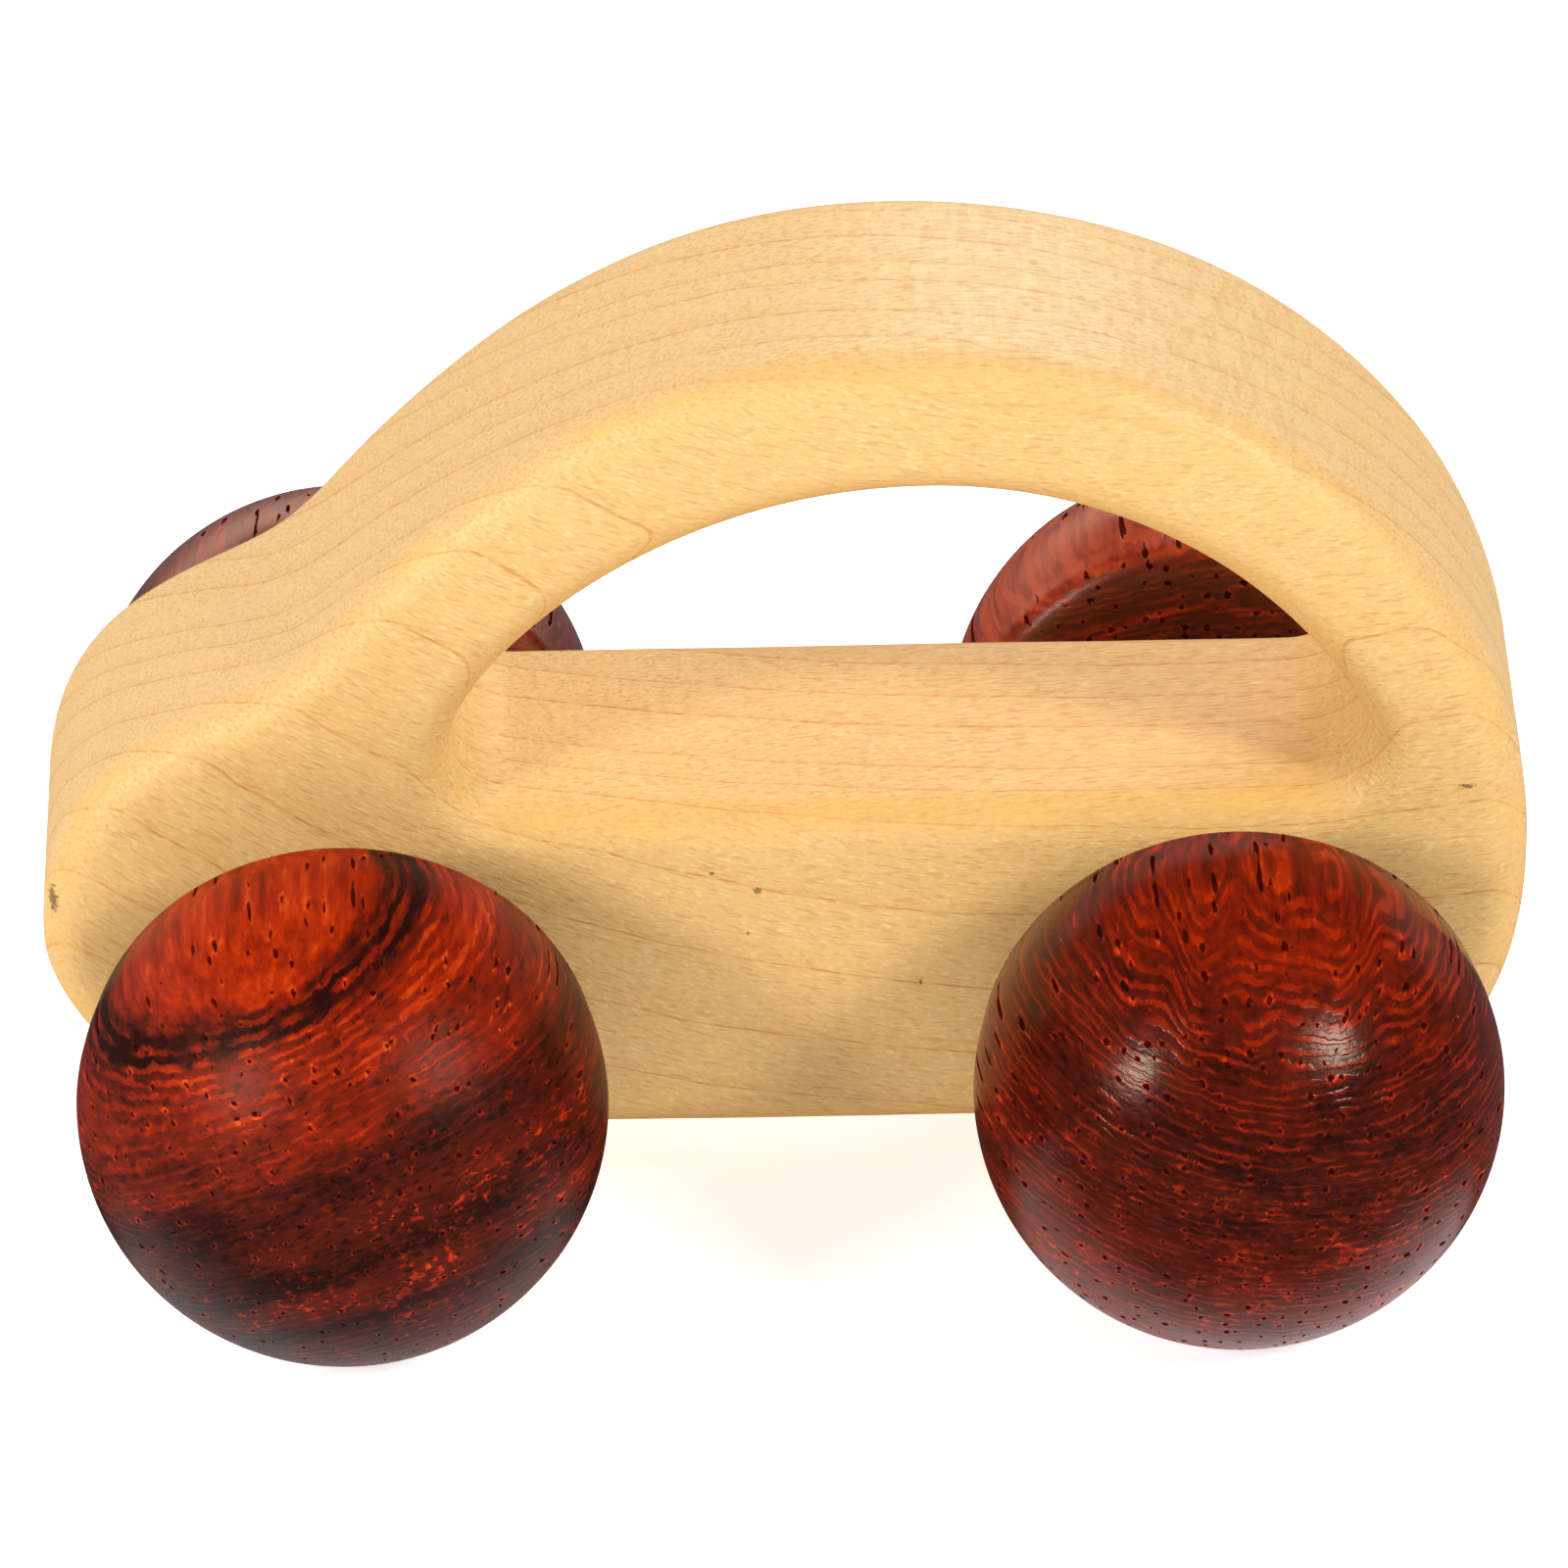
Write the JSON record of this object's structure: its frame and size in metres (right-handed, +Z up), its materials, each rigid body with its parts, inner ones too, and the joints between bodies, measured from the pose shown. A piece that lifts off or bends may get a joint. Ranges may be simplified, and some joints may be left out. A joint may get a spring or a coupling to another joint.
{
  "type": "wooden roller massager",
  "caption": "Hand-held wooden massager shaped like a small rounded car, with a finger window under an arched grip and domed rollers that turn on dowel axles.",
  "frame": {"origin": "on the ground under the rollers, midway between the two axles and on the mid-plane of the handle", "axes": "+X towards the tail, -X towards the nose, -Y towards the left-hand rollers, +Z up"},
  "size_m": [0.1282, 0.106, 0.0857],
  "materials": {
    "pale_wood": "satin sanded pale hardwood",
    "red_wood": "polished dark red hardwood",
    "dowel_wood": "plain turned dowel"
  },
  "bodies": {
    "handle": {"handle_body": "pale_wood"},
    "front_wheelset": {"front_axle": "dowel_wood", "front_left_roller": "red_wood", "front_right_roller": "red_wood", "front_left_spacer": "dowel_wood", "front_right_spacer": "dowel_wood"},
    "rear_wheelset": {"rear_axle": "dowel_wood", "rear_left_roller": "red_wood", "rear_right_roller": "red_wood", "rear_left_spacer": "dowel_wood", "rear_right_spacer": "dowel_wood"}
  },
  "joints": [
    {"name": "front_wheels_turn", "type": "hinge", "parent": "handle", "child": "front_wheelset", "pos_m": [-0.0383, 0, 0.02275], "axis": [0, 1, 0], "continuous": true},
    {"name": "rear_wheels_turn", "type": "hinge", "parent": "handle", "child": "rear_wheelset", "pos_m": [0.0383, 0, 0.02275], "axis": [0, 1, 0], "continuous": true}
  ]
}
